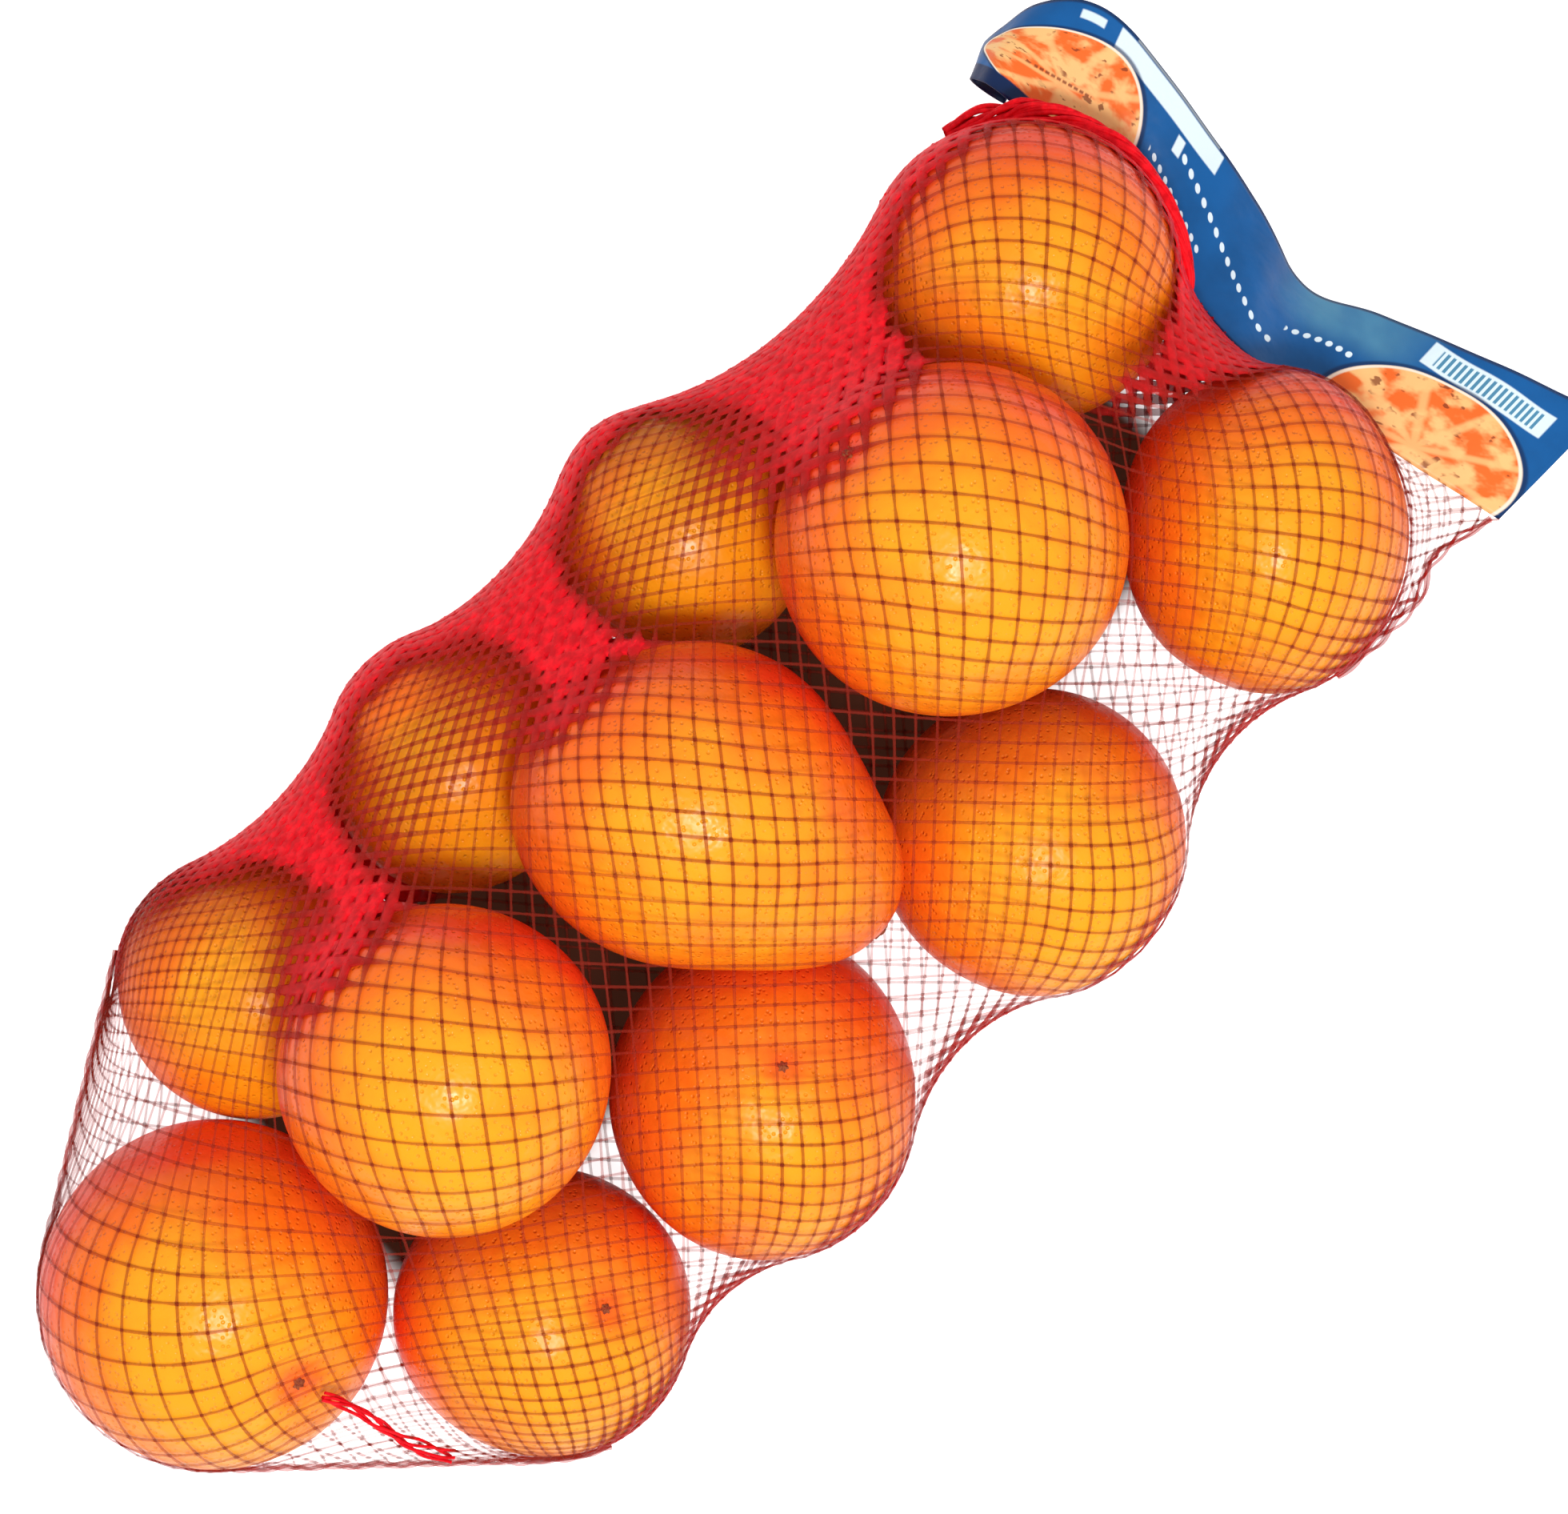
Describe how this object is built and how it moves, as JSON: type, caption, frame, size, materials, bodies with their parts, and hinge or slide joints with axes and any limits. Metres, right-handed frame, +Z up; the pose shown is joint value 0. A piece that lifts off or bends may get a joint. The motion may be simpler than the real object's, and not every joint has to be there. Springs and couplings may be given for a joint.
{
  "type": "net of oranges",
  "caption": "Diamond-mesh plastic net filled with loose oranges, lying on its side, with a printed film band across its mouth.",
  "frame": {"origin": "bottom centre of the whole object's box, on the surface it lies on", "axes": "+Y along the bag from its sewn end towards the film band, +X across the bag, +Z up"},
  "size_m": [0.1779, 0.4223, 0.1151],
  "materials": {
    "net_and_oranges": "orange peel, dimpled and softly glossy, under a fine translucent red plastic net",
    "orange_peel": "ripe orange peel, waxed, with fine pores and a soft gloss",
    "stem_end": "dry brown-green button where the stem was",
    "net_plastic": "knotted strands of translucent red plastic",
    "printed_film": "thin printed blue film, creased, with fruit-slice discs and pale stripes and no lettering"
  },
  "bodies": {
    "root": {"net_bag": "net_and_oranges", "label_band": "printed_film"}
  },
  "joints": []
}
